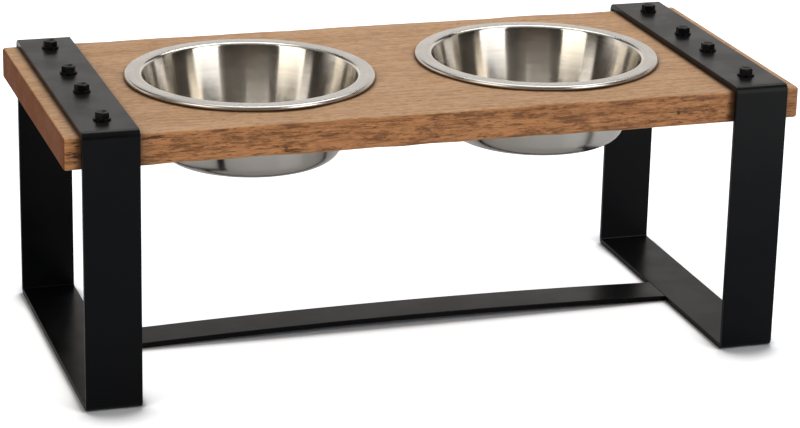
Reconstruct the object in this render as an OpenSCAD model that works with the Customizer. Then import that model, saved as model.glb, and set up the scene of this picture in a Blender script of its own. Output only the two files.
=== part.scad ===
// Raised pet feeder: a thick wooden board lies inside two closed loops of flat steel,
// which a low arched bar joins near the floor. Two steel bowls hang by their rims in
// the board and lift out.
// Millimetres, +Z up, +X along the board. The origin is on the floor, at the middle.

/* [Bowls] */
// Outer diameter of a bowl, across its rolled rim
rim_d = 181; // [140:1:240]
// Depth of a bowl, from the top of its rim to the underside of its base
bowl_depth = 62; // [40:1:90]
// Thickness of the bowl's sheet steel
sheet_t = 0.8; // [0.6:0.1:1.5]
// Thickness of the bead that is rolled along the rim's edge
bead_d = 3.5; // [2.5:0.1:6]
// Angle through which the sheet is rolled to form the bead
bead_roll = 280; // [220:5:290]
// Depth of the flat on which the bead rests
bead_flat = 0.2; // [0.1:0.05:0.4]
// Width of the flat ring between the bead and the neck
ring_w = 8.5; // [4:0.5:20]
// Upper radius of the bend from the ring down into the wall
neck_bend_r = 2.5; // [2:0.1:6]
// Lower radius of the bend from the wall into the base
base_bend_r = 12; // [4:0.5:20]
// Angle by which the wall leans in towards the base
wall_lean = 12.5; // [0:0.5:20]

/* [Board] */
// Thickness of the board
board_t = 24; // [20:1:40]
// Radius of the eased edges
edge_r = 2; // [0.5:0.5:5]
// Wood between the rims of the two bowls
bowl_gap = 39; // [10:1:120]
// Wood between a bowl's rim and the steel strap beside it
strap_gap = 17.5; // [5:0.5:80]
// Wood between a bowl's rim and the board's long edges
front_margin = 27.5; // [10:0.5:60]
// Wood past the outer edge of each strap
overhang = 12; // [2:1:60]
// Gap around a bowl's neck in its hole
bowl_play = 2; // [0.5:0.5:4]
// Chamfer round the holes, above and below
hole_ease = 1; // [0.5:0.25:2]

/* [Steel stand] */
// Height from the floor to the top of the straps
stand_h = 202; // [140:1:400]
// Width of the flat steel of the loops
band_w = 40; // [25:1:60]
// Thickness of the flat steel
band_t = 4; // [3:0.5:6]
// Outer radius of the loops' bends
bend_r = 8; // [6.5:0.5:16]
// Gap between the board's long edges and the legs
leg_gap = 2; // [0.5:0.5:6]
// Width of the bar between the loops
bar_w = 32; // [20:1:60]
// How far the bar arches up at its middle
bar_rise = 4; // [1:0.5:20]

/* [Screws] */
// Screws in each strap
screws = 4; // [2:2:6]
// Distance between the two middle screws of a strap
middle_pitch = 48; // [30:1:80]
// Distance from the board's long edges to the nearest screw
end_inset = 24.5; // [12:0.5:40]
// Diameter of a screw's shank
screw_d = 6; // [4:0.5:8]
// Length of a screw in the wood
bite = 16; // [10:0.5:18]
// Length of a screw's point
point_len = 5; // [3:0.5:8]
// Size of the hexagonal head across its flats
head_af = 10; // [8:0.5:13]
// Height of the head
head_h = 4.2; // [3:0.1:6]
// Diameter of the dish in the top of the head
dish_d = 7; // [3:0.5:7.5]
// Depth of the dish
dish_depth = 0.8; // [0.3:0.1:1.5]
// Turn of each head from the one before it
head_turn = 23; // [0:1:59]
// Outer diameter of the washer under a head
washer_d = 12.5; // [12:0.5:20]
// Thickness of the washer
washer_t = 1.2; // [0.8:0.1:2.5]
// Gap round the shank in the washer and in the strap
shank_play = 0.25; // [0.1:0.05:0.6]
// Gap round the shank in the wood
wood_play = 0.05; // [0.02:0.01:0.1]

/* [Hidden] */
$fn = 96;
SIDES = ["left", "right"];
PARTS = ["board", "left_frame", "right_frame", "cross_bar", "left_bowl", "right_bowl"];
FASTENERS = ["screw", "washer"];

WOOD = [0.76, 0.59, 0.42];
BLACK_STEEL = [0.13, 0.13, 0.14];
STAINLESS = [0.78, 0.77, 0.75];

// Bowls: where the sheet bends, seen in half section
rim_r = rim_d / 2;
bead_r = bead_d / 2;
bead_x = rim_r - bead_r;
neck_x = bead_x - ring_w;
neck_r = neck_x - (neck_bend_r - sheet_t);

// Board
board_l = 2 * (rim_d + strap_gap + band_w + overhang) + bowl_gap;
board_d = rim_d + 2 * front_margin;
board_top = stand_h - band_t;
board_z = board_top - board_t;
bowl_x = (rim_d + bowl_gap) / 2;
hole_r = neck_r + bowl_play;

// Heights of the bowls, from the seat of the bead on the board
rim_top = board_top + bead_d - bead_flat;
bowl_z = rim_top - bowl_depth;

// Loops and bar
frame_d = board_d + 2 * (leg_gap + band_t);
frame_x = board_l / 2 - overhang - band_w / 2;
bar_l = 2 * frame_x - band_w;
arch_r = (pow(bar_l / 2, 2) + pow(bar_rise, 2)) / (2 * bar_rise);
arch_angle = 3 * asin(bar_l / 2 / arch_r);
arch_facets = 200;

// Screws: the head stands on the washer, and the washer on the strap
head_z = stand_h + washer_t;
screw_len = washer_t + band_t + bite;
end_y = board_d / 2 - end_inset;
point_r = 0.4;
hex_sides = 6;
// Least radius of the head's chamfer on top, and its slope
chamfer_r = 0.95 * head_af / 2;
chamfer_angle = 30;
// Radius of the ball whose cap is the dish
dish_r = (pow(dish_d / 2, 2) + pow(dish_depth, 2)) / (2 * dish_depth);

// Extra length by which a cutter passes the face that it cuts
past = 1;

// Name of one screw or washer
function fastener(kind, side, i) = str(side, "_", kind, "_", i);

// -1 for the left side and 1 for the right one
function way(side) = side == "left" ? -1 : 1;

// Place of screw i along a strap, counted from the front: the middle pair keeps its
// pitch, and the others are spread evenly from there out to the end screws
function screw_y(i) =
    let (
        n = i - (screws + 1) / 2,
        pairs = screws / 2,
        outward = abs(n) - 0.5,
        step = pairs > 1 ? (end_y - middle_pitch / 2) / (pairs - 1) : 0
    )
    sign(n) * (middle_pitch / 2 + outward * step);

function unit(angle) = [cos(angle), sin(angle)];

// A rectangle with round corners that stands on the middle of its lower side
module rounded_rect(w, h, r) {
    translate([-w / 2, r]) square([w, h - 2 * r]);
    translate([-w / 2 + r, 0]) square([w - 2 * r, h]);
    for (x = [r - w / 2, w / 2 - r], y = [r, h - r])
        translate([x, y]) circle(r = r);
}

// A block with every edge rounded, on the plane z = 0 and centred in x and y
module eased_block(l, d, h, r) {
    intersection() {
        rotate([90, 0, 90])
            linear_extrude(height = l, center = true) rounded_rect(d, h, r);
        rotate([90, 0, 0])
            linear_extrude(height = d, center = true) rounded_rect(l, h, r);
        translate([0, -d / 2, 0])
            linear_extrude(height = h) rounded_rect(l, d, r);
    }
}

module board() {
    color(WOOD)
        difference() {
            translate([0, 0, board_z]) eased_block(board_l, board_d, board_t, edge_r);
            for (side = SIDES)
                translate([way(side) * bowl_x, 0, board_z]) bowl_hole();
            for (side = SIDES, i = [1:screws])
                at_screw(side, i, board_top - bite)
                    cylinder(d = screw_d + 2 * wood_play, h = bite + past);
        }
}

// What is cut away for one bowl: the hole, and a chamfer at either end
module bowl_hole() {
    translate([0, 0, -past])
        cylinder(r = hole_r, h = board_t + 2 * past);
    cylinder(r1 = hole_r + hole_ease, r2 = hole_r, h = hole_ease);
    translate([0, 0, board_t - hole_ease])
        cylinder(r1 = hole_r, r2 = hole_r + hole_ease, h = hole_ease);
}

// Puts its children on the axis of screw i of a strap
module at_screw(side, i, z) {
    translate([way(side) * frame_x, screw_y(i), z]) children();
}

// One closed loop of flat steel: strap, two legs and foot, bent at four corners
module frame(side) {
    color(BLACK_STEEL)
        difference() {
            translate([way(side) * frame_x, 0, 0])
                rotate([90, 0, 90])
                    linear_extrude(height = band_w, center = true)
                        difference() {
                            rounded_rect(frame_d, stand_h, bend_r);
                            translate([0, band_t])
                                rounded_rect(
                                    frame_d - 2 * band_t,
                                    stand_h - 2 * band_t,
                                    bend_r - band_t
                                );
                        }
            for (i = [1:screws])
                at_screw(side, i, board_top - past)
                    cylinder(d = screw_d + 2 * shank_play, h = band_t + 2 * past);
        }
}

// The bar meets both feet edge to edge, flush with them, and arches up between them
module cross_bar() {
    color(BLACK_STEEL)
        intersection() {
            translate([0, 0, bar_rise - arch_r])
                rotate([90, 0, 0])
                    rotate([0, 0, 90 - arch_angle / 2])
                        rotate_extrude(angle = arch_angle, $fn = arch_facets * 360 / arch_angle)
                            translate([arch_r, -bar_w / 2]) square([band_t, bar_w]);
            translate([-bar_l / 2, -bar_w, -band_t])
                cube([bar_l, 2 * bar_w, bar_rise + 3 * band_t]);
        }
}

// What lies inside and above a bowl's sheet, seen in half section: the axis is at x = 0 and
// the underside of the base at y = 0. The border runs at this depth into the sheet,
// from 0 on its underside to sheet_t on the side that holds the food.
module bowl_inside(depth) {
    // Directions from the wall's outside to its inside, and down along the wall
    inward = unit(180 - wall_lean);
    down = unit(270 - wall_lean);
    neck = [neck_x, bowl_depth - neck_bend_r];
    neck_bend = neck_bend_r - sheet_t + depth;
    base_bend = base_bend_r - depth;
    wall_top = neck + (neck_bend_r - sheet_t) * inward;
    wall_len = (wall_top[1] + base_bend_r * inward[1] - base_bend_r) / -down[1];
    base = wall_top + wall_len * down + base_bend_r * inward;

    translate(base) circle(r = base_bend);
    difference() {
        polygon([
            [0, depth],
            [base[0], depth],
            base,
            base - base_bend * inward,
            neck + neck_bend * inward,
            neck,
            [neck[0], neck[1] + neck_bend],
            [bead_x + depth, neck[1] + neck_bend],
            [bead_x + depth, bowl_depth + past],
            [0, bowl_depth + past]
        ]);
        translate(neck) circle(r = neck_bend);
    }
}

// The sheet rolled down and under into a bead, open between its end and the ring,
// and flat where it rests on the board
module bead_section() {
    centre = [bead_x, bowl_depth - bead_r];
    roll_end = centre + bead_d * unit(90 - bead_roll);

    difference() {
        translate(centre) circle(r = bead_r);
        translate(centre) circle(r = bead_r - sheet_t);
        polygon([centre, roll_end, centre + [-bead_d, bead_d], centre + [0, bead_d]]);
        translate([bead_x - bead_r, bowl_depth - bead_d + bead_flat - bead_r])
            square([bead_d, bead_r]);
    }
}

// Half section of a bowl: one sheet from the base up the wall, over the neck, along the
// ring and round the bead
module bowl_section() {
    difference() {
        bowl_inside(0);
        bowl_inside(sheet_t);
        translate([0, bowl_depth]) square([rim_r, 2 * past]);
    }
    bead_section();
}

module bowl(side) {
    color(STAINLESS)
        translate([way(side) * bowl_x, 0, bowl_z])
            rotate_extrude() bowl_section();
}

// Hexagonal head on the plane z = 0, chamfered and dished on top
module head() {
    difference() {
        intersection() {
            cylinder(d = head_af / cos(180 / hex_sides), h = head_h, $fn = hex_sides);
            cylinder(
                r1 = chamfer_r + head_h / tan(chamfer_angle),
                r2 = chamfer_r,
                h = head_h
            );
        }
        translate([0, 0, head_h - dish_depth + dish_r]) sphere(r = dish_r);
    }
}

// Hexagonal wood screw with a plain shank and a point
module screw(side, i) {
    color(BLACK_STEEL)
        at_screw(side, i, head_z) {
            rotate([0, 0, head_turn * i * (2 + way(side))]) head();
            translate([0, 0, point_len - screw_len])
                cylinder(d = screw_d, h = screw_len - point_len);
            translate([0, 0, -screw_len])
                cylinder(r1 = point_r, d2 = screw_d, h = point_len);
        }
}

module washer(side, i) {
    color(BLACK_STEEL)
        at_screw(side, i, stand_h)
            difference() {
                cylinder(d = washer_d, h = washer_t);
                translate([0, 0, -past])
                    cylinder(d = screw_d + 2 * shank_play, h = washer_t + 2 * past);
            }
}

board();
frame("left");  // left_frame
frame("right");  // right_frame
cross_bar();
bowl("left");  // left_bowl
bowl("right");  // right_bowl
for (side = SIDES, i = [1:screws]) {
    screw(side, i);
    washer(side, i);
}
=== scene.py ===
"""Looks of a raised pet feeder: an oiled board in two loops of black flat steel, and two bowls.

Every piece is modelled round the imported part, in metres and in the part's own frame.
"""

import logging
from contextlib import contextmanager
from dataclasses import dataclass, field
from enum import Enum
from math import asin, cos, hypot, pi, radians, sin, tan
from typing import Callable, Iterator, Optional, Sequence, Union

import bmesh
import bpy
from mathutils import Matrix, Vector


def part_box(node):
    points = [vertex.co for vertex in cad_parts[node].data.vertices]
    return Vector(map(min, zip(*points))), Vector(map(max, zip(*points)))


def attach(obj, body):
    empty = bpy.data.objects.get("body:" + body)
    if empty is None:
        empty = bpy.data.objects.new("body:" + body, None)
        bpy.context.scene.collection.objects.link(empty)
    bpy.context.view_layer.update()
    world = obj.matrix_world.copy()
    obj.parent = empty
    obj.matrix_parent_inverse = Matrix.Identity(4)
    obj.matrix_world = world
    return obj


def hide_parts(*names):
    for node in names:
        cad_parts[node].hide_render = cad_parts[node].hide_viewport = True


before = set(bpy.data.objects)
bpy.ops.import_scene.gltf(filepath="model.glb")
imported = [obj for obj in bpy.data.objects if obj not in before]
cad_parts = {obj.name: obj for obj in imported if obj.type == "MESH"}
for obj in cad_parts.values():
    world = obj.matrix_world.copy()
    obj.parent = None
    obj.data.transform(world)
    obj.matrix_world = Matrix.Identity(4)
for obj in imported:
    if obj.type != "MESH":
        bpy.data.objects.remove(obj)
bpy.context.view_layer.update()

log = logging.getLogger("feeder")

MM = 0.001

SCREWS_A_SIDE = 4

Colour = tuple[float, float, float]
Point = tuple[float, float, float]
Span = tuple[float, float]
Socket = bpy.types.NodeSocket
Value = Union[float, Sequence[float], Socket]


class Side(Enum):
    """The two ends of the stand."""

    LEFT = "left"
    RIGHT = "right"

    @property
    def way(self) -> int:
        """-1 for the left side and 1 for the right one."""
        return -1 if self is Side.LEFT else 1


class Slot(Enum):
    """Material slots of the part's record."""

    WOOD = "oiled_wood"
    COATED_STEEL = "black_coated_steel"
    FASTENERS = "black_fasteners"
    STAINLESS = "brushed_stainless"


class Pick(Enum):
    """What an edit-mode selection is made of."""

    VERTS = "VERT"
    EDGES = "EDGE"
    FACES = "FACE"


# Modelling


class Workpiece:
    """One mesh on the bench, shaped in edit mode and finished with modifiers."""

    def __init__(self, obj: bpy.types.Object, name: str) -> None:
        """Takes over a new object.

        Args:
            obj: the object, fresh from an operator.
            name: the piece's name.
        """
        self.obj = obj
        obj.name = name
        obj.data.name = name

    @classmethod
    def from_primitive(cls, name: str, operator: Callable, **settings: object) -> "Workpiece":
        """Adds a primitive at its size and place.

        Args:
            name: the piece's name.
            operator: one of the primitive_..._add operators.
            **settings: what the operator is given.

        Returns:
            The workpiece, with its place in its mesh.
        """
        bpy.ops.object.select_all(action="DESELECT")
        operator(**settings)
        piece = cls(bpy.context.active_object, name)
        piece.settle()
        return piece

    @classmethod
    def block(cls, name: str, low: Vector, high: Vector) -> "Workpiece":
        """Adds a cube stretched between two corners.

        Args:
            name: the piece's name.
            low: the lowest corner.
            high: the highest corner.

        Returns:
            The block.
        """
        return cls.from_primitive(
            name,
            bpy.ops.mesh.primitive_cube_add,
            size=1,
            location=(low + high) / 2,
            scale=high - low,
        )

    def activate(self) -> None:
        """Makes this the only selected object, and the active one."""
        bpy.ops.object.select_all(action="DESELECT")
        self.obj.select_set(True)
        bpy.context.view_layer.objects.active = self.obj

    def settle(self) -> None:
        """Puts the object's place, turn and scale into its mesh."""
        self.activate()
        bpy.ops.object.transform_apply(location=True, rotation=True, scale=True)

    @contextmanager
    def editing(self) -> Iterator[None]:
        """Opens the mesh in edit mode, with nothing selected."""
        self.activate()
        bpy.ops.object.mode_set(mode="EDIT")
        bpy.ops.mesh.select_mode(type=Pick.VERTS.value)
        bpy.ops.mesh.select_all(action="DESELECT")
        try:
            yield
        finally:
            bpy.ops.object.mode_set(mode="OBJECT")

    def pick(self, kind: Pick, wanted: Callable[[object], bool]) -> None:
        """Selects, in edit mode, the elements that a test accepts.

        Args:
            kind: vertices, edges or faces.
            wanted: the test, called with each element.
        """
        bpy.ops.mesh.select_mode(type=kind.value)
        bpy.ops.mesh.select_all(action="DESELECT")
        mesh = bmesh.from_edit_mesh(self.obj.data)
        elements = {Pick.VERTS: mesh.verts, Pick.EDGES: mesh.edges, Pick.FACES: mesh.faces}[kind]
        found = [element for element in elements if wanted(element)]
        for element in found:
            element.select_set(True)
        if kind is Pick.VERTS:
            mesh.select_flush(True)
        bmesh.update_edit_mesh(self.obj.data)

    def pick_all(self) -> None:
        """Selects, in edit mode, the whole mesh."""
        bpy.ops.mesh.select_mode(type=Pick.VERTS.value)
        bpy.ops.mesh.select_all(action="SELECT")

    def modify(self, kind: str, **settings: object) -> None:
        """Adds a modifier and applies it.

        Args:
            kind: the modifier's type.
            **settings: its properties.
        """
        self.activate()
        bpy.ops.object.modifier_add(type=kind)
        modifier = self.obj.modifiers[-1]
        for name, value in settings.items():
            setattr(modifier, name, value)
        bpy.ops.object.modifier_apply(modifier=modifier.name)

    def cut(self, tool: "Workpiece", operation: str = "DIFFERENCE") -> None:
        """Cuts this piece with another, which is used up.

        Args:
            tool: the cutter.
            operation: DIFFERENCE, INTERSECT or UNION.
        """
        self.modify("BOOLEAN", operation=operation, object=tool.obj, solver="EXACT")
        tool.discard()

    def ease(self, width: float, segments: int, angle: float = 40) -> None:
        """Rounds every edge that is sharper than an angle.

        Args:
            width: the width of the rounding.
            segments: how many faces it has.
            angle: the least angle, in degrees.
        """
        self.modify(
            "BEVEL",
            width=width,
            segments=segments,
            limit_method="ANGLE",
            angle_limit=radians(angle),
        )

    def join(self, other: "Workpiece") -> None:
        """Takes another piece's mesh into this one.

        Args:
            other: the other piece, which is used up.
        """
        self.activate()
        other.obj.select_set(True)
        bpy.ops.object.join()

    def discard(self) -> None:
        """Removes the object and its mesh."""
        mesh = self.obj.data
        bpy.data.objects.remove(self.obj)
        bpy.data.meshes.remove(mesh)

    def point_outwards(self) -> None:
        """Merges doubles and turns every face outwards."""
        with self.editing():
            bpy.ops.mesh.select_all(action="SELECT")
            bpy.ops.mesh.remove_doubles(threshold=0.002 * MM)
            bpy.ops.mesh.normals_make_consistent(inside=False)

    def smooth(self, angle: float = 35, weighted: bool = True) -> None:
        """Shades the piece smooth up to an angle.

        Args:
            angle: the sharpest edge that is shaded smooth, in degrees.
            weighted: whether large faces keep their own direction.
        """
        self.activate()
        bpy.ops.object.shade_smooth_by_angle(angle=radians(angle))
        if weighted:
            self.modify("WEIGHTED_NORMAL", keep_sharp=True, weight=100)

    def copy(self, name: str, place: Matrix) -> "Workpiece":
        """Copies the piece, with its own mesh.

        Args:
            name: the copy's name.
            place: where the copy goes, put into its mesh.

        Returns:
            The copy.
        """
        obj = self.obj.copy()
        obj.data = self.obj.data.copy()
        bpy.context.scene.collection.objects.link(obj)
        obj.data.transform(place)
        return Workpiece(obj, name)

    def dress(self, *materials: bpy.types.Material) -> None:
        """Gives the piece its materials.

        Args:
            *materials: the materials, in the order of the piece's slots.
        """
        self.obj.data.materials.clear()
        for material in materials:
            self.obj.data.materials.append(material)

    def stand_for(self, body: str, slot: Slot, *nodes: str) -> None:
        """Puts the finished piece in place of CAD nodes.

        Args:
            body: the body that it moves with.
            slot: its material slot in the record; not used.
            *nodes: the nodes that it replaces.
        """
        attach(self.obj, body)
        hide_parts(*nodes)
        log.info("%s: %d faces, on %s", self.obj.name, len(self.obj.data.polygons), body)


def arc(centre: Vector, radius: float, start: float, end: float, steps: int) -> list[Vector]:
    """Points along an arc in the XZ plane.

    Args:
        centre: the arc's centre.
        radius: its radius.
        start: the direction of its first point, in degrees from +X towards +Z.
        end: the direction of its last point.
        steps: how many equal steps it has.

    Returns:
        The points, one more than the steps.
    """
    angles = [radians(start + (end - start) * i / steps) for i in range(steps + 1)]
    return [centre + radius * Vector((cos(a), 0, sin(a))) for a in angles]


# Nodes


class Net:
    """Places nodes in one node tree and joins them."""

    def __init__(self, tree: bpy.types.NodeTree) -> None:
        """Starts in an empty tree.

        Args:
            tree: the material's, world's or group's tree.
        """
        self.tree = tree

    def set(self, socket: Socket, value: Value) -> None:
        """Links a socket to another, or sets its value.

        Args:
            socket: the input socket.
            value: an output socket to link it to, or the value that it gets.
        """
        if isinstance(value, bpy.types.NodeSocket):
            self.tree.links.new(value, socket)
        elif socket.type == "RGBA" and len(value) == 3:
            socket.default_value = (*value, 1)
        else:
            socket.default_value = value

    def add(self, kind: str, inputs: Optional[dict] = None, **settings: object) -> bpy.types.Node:
        """Adds a node.

        Args:
            kind: the node's type, without its ShaderNode prefix.
            inputs: values or links by the sockets' names or numbers.
            **settings: the node's own properties.

        Returns:
            The node.
        """
        node = self.tree.nodes.new("ShaderNode" + kind)
        for name, value in settings.items():
            setattr(node, name, value)
        for key, value in (inputs or {}).items():
            self.set(node.inputs[key], value)
        return node

    def math(self, operation: str, a: Value, b: Value = 0.0, clamp: bool = False) -> Socket:
        """A value worked out from two others."""
        return self.add("Math", {0: a, 1: b}, operation=operation, use_clamp=clamp).outputs[0]

    def remap(
        self, value: Value, low: float, high: float, to_low: float = 0, to_high: float = 1
    ) -> Socket:
        """A smooth step from one range of values to another."""
        inputs = {"Value": value, 1: low, 2: high, 3: to_low, 4: to_high}
        return self.add("MapRange", inputs, interpolation_type="SMOOTHSTEP").outputs[0]

    def mix(self, factor: Value, a: Value, b: Value, blend: str = "MIX") -> Socket:
        """A mix of two colours."""
        inputs = {0: factor, 6: a, 7: b}
        return self.add("Mix", inputs, data_type="RGBA", blend_type=blend).outputs[2]

    def noise(
        self, vector: Value, scale: Value, detail: float = 2, roughness: float = 0.5
    ) -> Socket:
        """A noise texture's value."""
        inputs = {"Vector": vector, "Scale": scale, "Detail": detail, "Roughness": roughness}
        return self.add("TexNoise", inputs).outputs[0]

    def stretch(
        self, vector: Value, scale: Sequence[float], offset: Sequence[float] = (0, 0, 0)
    ) -> Socket:
        """Coordinates scaled along each axis, and then moved."""
        inputs = {"Vector": vector, "Location": offset, "Scale": scale}
        return self.add("Mapping", inputs, vector_type="POINT").outputs[0]

    def bump(self, height: Value, strength: float, distance: float) -> Socket:
        """A normal from a height."""
        inputs = {"Strength": strength, "Distance": distance, "Height": height}
        return self.add("Bump", inputs).outputs[0]

    def occlusion(self, reach: float) -> Socket:
        """How open the surface lies, from 0, shut in, to 1."""
        return self.add("AmbientOcclusion", {"Distance": reach}, samples=16).outputs["AO"]

    def group(self, tree: bpy.types.NodeTree, inputs: dict[str, Value]) -> bpy.types.Node:
        """Places a node group.

        Args:
            tree: the group's tree.
            inputs: values or links by the group's input names.

        Returns:
            The group's node.
        """
        node = self.tree.nodes.new("ShaderNodeGroup")
        node.node_tree = tree
        for name, value in inputs.items():
            self.set(node.inputs[name], value)
        return node

    def object_coordinates(self) -> Socket:
        """The surface's place in the part's own frame, in metres."""
        return self.add("TexCoord").outputs["Object"]


class EffectGroup:
    """A shader node group for an effect that several finishes share, built once."""

    made: dict[str, bpy.types.NodeTree] = {}

    def __init__(self, name: str, inputs: dict[str, str], outputs: dict[str, str]) -> None:
        """Makes an empty group.

        Args:
            name: the group's name.
            inputs: the kind of each input socket, by name.
            outputs: the kind of each output socket, by name.
        """
        self.tree = bpy.data.node_groups.new(name, "ShaderNodeTree")
        for in_out, sockets in (("INPUT", inputs), ("OUTPUT", outputs)):
            for label, kind in sockets.items():
                self.tree.interface.new_socket(label, in_out=in_out, socket_type=kind)
        self.net = Net(self.tree)
        self.given = self.tree.nodes.new("NodeGroupInput").outputs
        self.result = self.tree.nodes.new("NodeGroupOutput").inputs

    @classmethod
    def once(cls, name: str, build: Callable[[], "EffectGroup"]) -> bpy.types.NodeTree:
        """Builds a group the first time that it is asked for.

        Args:
            name: the group's name.
            build: what builds the group.

        Returns:
            The group's tree.
        """
        if name not in cls.made:
            cls.made[name] = build().tree
        return cls.made[name]


FLOAT = "NodeSocketFloat"
VECTOR = "NodeSocketVector"


def surface_grain() -> bpy.types.NodeTree:
    """The fine texture of a coated or sanded surface.

    Returns:
        A group with a Height for a Bump node and a Mottle from 0 to 1.
    """

    def build() -> EffectGroup:
        """Builds the group."""
        group = EffectGroup(
            "surface_grain",
            {"Vector": VECTOR, "Grain Size": FLOAT, "Mottle Size": FLOAT},
            {"Height": FLOAT, "Mottle": FLOAT},
        )
        net = group.net
        vector = group.given["Vector"]
        grain_scale = net.math("DIVIDE", 1.0, group.given["Grain Size"])
        mottle_scale = net.math("DIVIDE", 1.0, group.given["Mottle Size"])
        net.set(group.result["Height"], net.noise(vector, grain_scale, detail=3, roughness=0.6))
        mottle = net.noise(vector, mottle_scale, detail=4, roughness=0.55)
        net.set(group.result["Mottle"], net.remap(mottle, low=0.3, high=0.7))
        return group

    return EffectGroup.once("surface_grain", build)


def edge_wear() -> bpy.types.NodeTree:
    """Where edges are rubbed, broken up by noise.

    Returns:
        A group with a Mask, 1 on a rubbed edge.
    """

    def build() -> EffectGroup:
        """Builds the group."""
        group = EffectGroup(
            "edge_wear",
            {"Vector": VECTOR, "Width": FLOAT, "Patch Size": FLOAT},
            {"Mask": FLOAT},
        )
        net = group.net
        rounded = net.add("Bevel", {"Radius": group.given["Width"]}, samples=4).outputs[0]
        true = net.add("NewGeometry").outputs["Normal"]
        facing = net.add("VectorMath", {0: rounded, 1: true}, operation="DOT_PRODUCT")
        edge = net.remap(facing.outputs["Value"], low=0.995, high=0.9)
        patch_scale = net.math("DIVIDE", 1.0, group.given["Patch Size"])
        patches = net.noise(group.given["Vector"], patch_scale, detail=3)
        patches = net.remap(patches, low=0.35, high=0.65)
        net.set(group.result["Mask"], net.math("MULTIPLY", edge, patches))
        return group

    return EffectGroup.once("edge_wear", build)


def turned_lines() -> bpy.types.NodeTree:
    """Fine lines round the Z axis, as a polishing belt leaves on a turned part.

    Returns:
        A group with a Height for a Bump node and Streaks from 0 to 1.
    """
    streaks_a_line = 0.12

    def build() -> EffectGroup:
        """Builds the group."""
        group = EffectGroup(
            "turned_lines",
            {"Vector": VECTOR, "Line Width": FLOAT},
            {"Height": FLOAT, "Streaks": FLOAT},
        )
        net = group.net
        place = net.add("SeparateXYZ", {0: group.given["Vector"]}).outputs
        squares = [net.math("MULTIPLY", place[i], place[i]) for i in (0, 1)]
        radius = net.math("SQRT", net.math("ADD", *squares))
        along = net.add("CombineXYZ", {0: radius, 1: place[2]}).outputs[0]
        line_scale = net.math("DIVIDE", 1.0, group.given["Line Width"])
        streak_scale = net.math("MULTIPLY", line_scale, streaks_a_line)
        fine = net.noise(along, line_scale, detail=2, roughness=0.6)
        broad = net.noise(along, streak_scale, detail=2)
        net.set(group.result["Height"], fine)
        net.set(group.result["Streaks"], net.remap(broad, low=0.3, high=0.7))
        return group

    return EffectGroup.once("turned_lines", build)


# Finishes


def new_material(name: str) -> tuple[bpy.types.Material, Net, bpy.types.Node]:
    """A material with a Principled BSDF and nothing else.

    Args:
        name: the material's name.

    Returns:
        The material, its net, and the shader.
    """
    material = bpy.data.materials.new(name)
    material.use_nodes = True
    net = Net(material.node_tree)
    shader = next(n for n in material.node_tree.nodes if n.type == "BSDF_PRINCIPLED")
    return material, net, shader


@dataclass(frozen=True)
class CoatedSteel:
    """Satin black coating: a powder coat on the stand, or a thin one on screws."""

    name: str
    colour: Colour
    rubbed_colour: Colour
    roughness: float
    specular: float
    grain_size: float
    grain_strength: float
    edge_width: float
    grain_depth: float = 0.05 * MM
    mottle_size: float = 30 * MM
    roughness_spread: float = 0.035
    wear_patch: float = 9 * MM
    wear_share: float = 0.5

    def material(self) -> bpy.types.Material:
        """Builds the material."""
        material, net, shader = new_material(self.name)
        place = net.object_coordinates()
        grain = net.group(
            surface_grain(),
            {"Vector": place, "Grain Size": self.grain_size, "Mottle Size": self.mottle_size},
        ).outputs
        wear = net.group(
            edge_wear(),
            {"Vector": place, "Width": self.edge_width, "Patch Size": self.wear_patch},
        ).outputs["Mask"]
        worn = net.math("MULTIPLY", wear, self.wear_share)
        colour = net.mix(worn, self.colour, self.rubbed_colour)
        smoothest = self.roughness - self.roughness_spread
        roughest = self.roughness + self.roughness_spread
        rough = net.remap(grain["Mottle"], 0, 1, smoothest, roughest)
        net.set(shader.inputs["Base Color"], colour)
        net.set(shader.inputs["Roughness"], rough)
        net.set(shader.inputs["Specular IOR Level"], self.specular)
        normal = net.bump(grain["Height"], self.grain_strength, self.grain_depth)
        net.set(shader.inputs["Normal"], normal)
        return material


@dataclass(frozen=True)
class Stainless:
    """Stainless steel with fine lines round the bowl's axis."""

    name: str
    colour: Colour
    roughness: float
    anisotropy: float
    line_width: float
    line_strength: float
    centre: Point
    line_turn: float = 0.25
    line_depth: float = 0.02 * MM
    streak_shade: float = 0.94
    grain_size: float = 0.4 * MM
    mottle_size: float = 22 * MM
    roughness_spread: float = 0.15

    def material(self) -> bpy.types.Material:
        """Builds the material."""
        material, net, shader = new_material(self.name)
        place = net.stretch(net.object_coordinates(), (1, 1, 1), [-c for c in self.centre])
        lines = net.group(turned_lines(), {"Vector": place, "Line Width": self.line_width}).outputs
        grain = net.group(
            surface_grain(),
            {"Vector": place, "Grain Size": self.grain_size, "Mottle Size": self.mottle_size},
        ).outputs
        shade = net.remap(lines["Streaks"], 0, 1, self.streak_shade, 1.0)
        grey = net.add("CombineXYZ", {0: shade, 1: shade, 2: shade}).outputs[0]
        colour = net.mix(1.0, self.colour, grey, "MULTIPLY")
        smoothest = self.roughness * (1 - self.roughness_spread)
        roughest = self.roughness * (1 + self.roughness_spread)
        rough = net.remap(grain["Mottle"], 0, 1, smoothest, roughest)
        tangent = net.add("Tangent", direction_type="RADIAL", axis="Z").outputs[0]
        net.set(shader.inputs["Anisotropic Rotation"], self.line_turn)
        net.set(shader.inputs["Base Color"], colour)
        net.set(shader.inputs["Metallic"], 1.0)
        net.set(shader.inputs["Roughness"], rough)
        net.set(shader.inputs["Anisotropic"], self.anisotropy)
        net.set(shader.inputs["Tangent"], tangent)
        normal = net.bump(lines["Height"], self.line_strength, self.line_depth)
        net.set(shader.inputs["Normal"], normal)
        return material


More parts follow.
